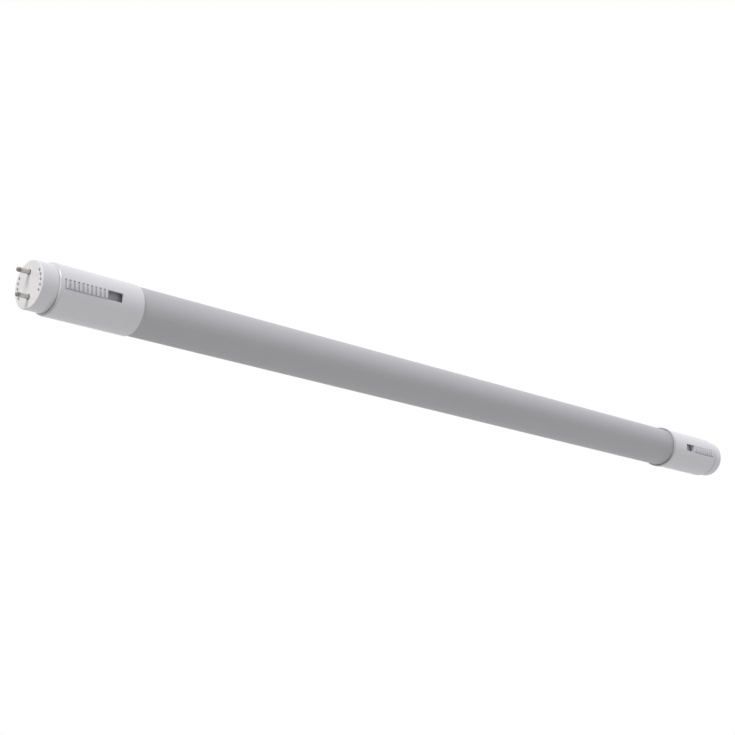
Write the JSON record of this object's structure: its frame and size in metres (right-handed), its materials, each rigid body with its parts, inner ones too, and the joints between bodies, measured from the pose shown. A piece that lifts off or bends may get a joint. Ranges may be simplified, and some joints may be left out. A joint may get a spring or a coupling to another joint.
{
  "type": "led tube lamp",
  "caption": "Straight LED tube lamp with a frosted tube, long vented end caps, two round pins at each end and a ribbed slide switch on each cap.",
  "frame": {"origin": "middle of the lamp on the axis of its tube", "axes": "+X along the lamp to the end with the ring, +Z through the two pins of each end, -Y the side with the slide switches"},
  "size_m": [0.6036, 0.0282, 0.0282],
  "materials": {
    "diffuser": "frosted, fine matt grain",
    "ring_plastic": "satin moulded",
    "cap_plastic": "satin moulded white",
    "slider_plastic": "satin moulded white",
    "pin_metal": "nickel plated",
    "profile_aluminium": "extruded, as drawn",
    "led_board": "white solder mask on metal core",
    "led_phosphor": "clear over yellow phosphor",
    "circuit_board": "green solder mask",
    "switch_plastic": "dark moulded",
    "contact_brass": "stamped strip",
    "lead_insulation": "smooth insulation",
    "connector_plastic": "moulded",
    "ferrite": "sintered core with tape",
    "capacitor_can": "sleeved can",
    "film_case": "potted case",
    "varistor_coating": "dipped coating",
    "chip_epoxy": "moulded epoxy",
    "fuse_glass": "glass with metal caps"
  },
  "bodies": {
    "lamp": {"diffuser_tube": "diffuser", "heat_spreader": "profile_aluminium", "led_board": "led_board", "led_packages": "led_phosphor", "left_board_connector": "connector_plastic", "left_cap_board": "circuit_board", "left_cap_housing": "cap_plastic", "left_driver_chip": "chip_epoxy", "left_electrolytic_capacitor": "capacitor_can", "left_fuse": "fuse_glass", "left_pin_lead_lower": "lead_insulation", "left_pin_lead_upper": "lead_insulation", "left_pin_lower": "pin_metal", "left_pin_plate": "cap_plastic", "left_pin_upper": "pin_metal", "left_rectifier": "chip_epoxy", "left_switch_body": "switch_plastic", "left_switch_contacts": "contact_brass", "left_transformer": "ferrite", "right_board_connector": "connector_plastic", "right_cap_board": "circuit_board", "right_cap_housing": "cap_plastic", "right_choke": "ferrite", "right_film_capacitor": "film_case", "right_pin_lead_lower": "lead_insulation", "right_pin_lead_upper": "lead_insulation", "right_pin_lower": "pin_metal", "right_pin_plate": "cap_plastic", "right_pin_upper": "pin_metal", "right_switch_body": "switch_plastic", "right_switch_contacts": "contact_brass", "right_varistor": "varistor_coating", "tube_end_ring": "ring_plastic"},
    "left_slider": {"left_switch_slider": "slider_plastic", "left_switch_lever": "switch_plastic"},
    "right_slider": {"right_switch_slider": "slider_plastic", "right_switch_lever": "switch_plastic"}
  },
  "joints": [
    {"name": "left_switch_slide", "type": "slide", "parent": "lamp", "child": "left_slider", "axis": [1, 0, 0], "range_m": [0, 0.009]},
    {"name": "right_switch_slide", "type": "slide", "parent": "lamp", "child": "right_slider", "axis": [-1, 0, 0], "range_m": [0, 0.009]}
  ]
}
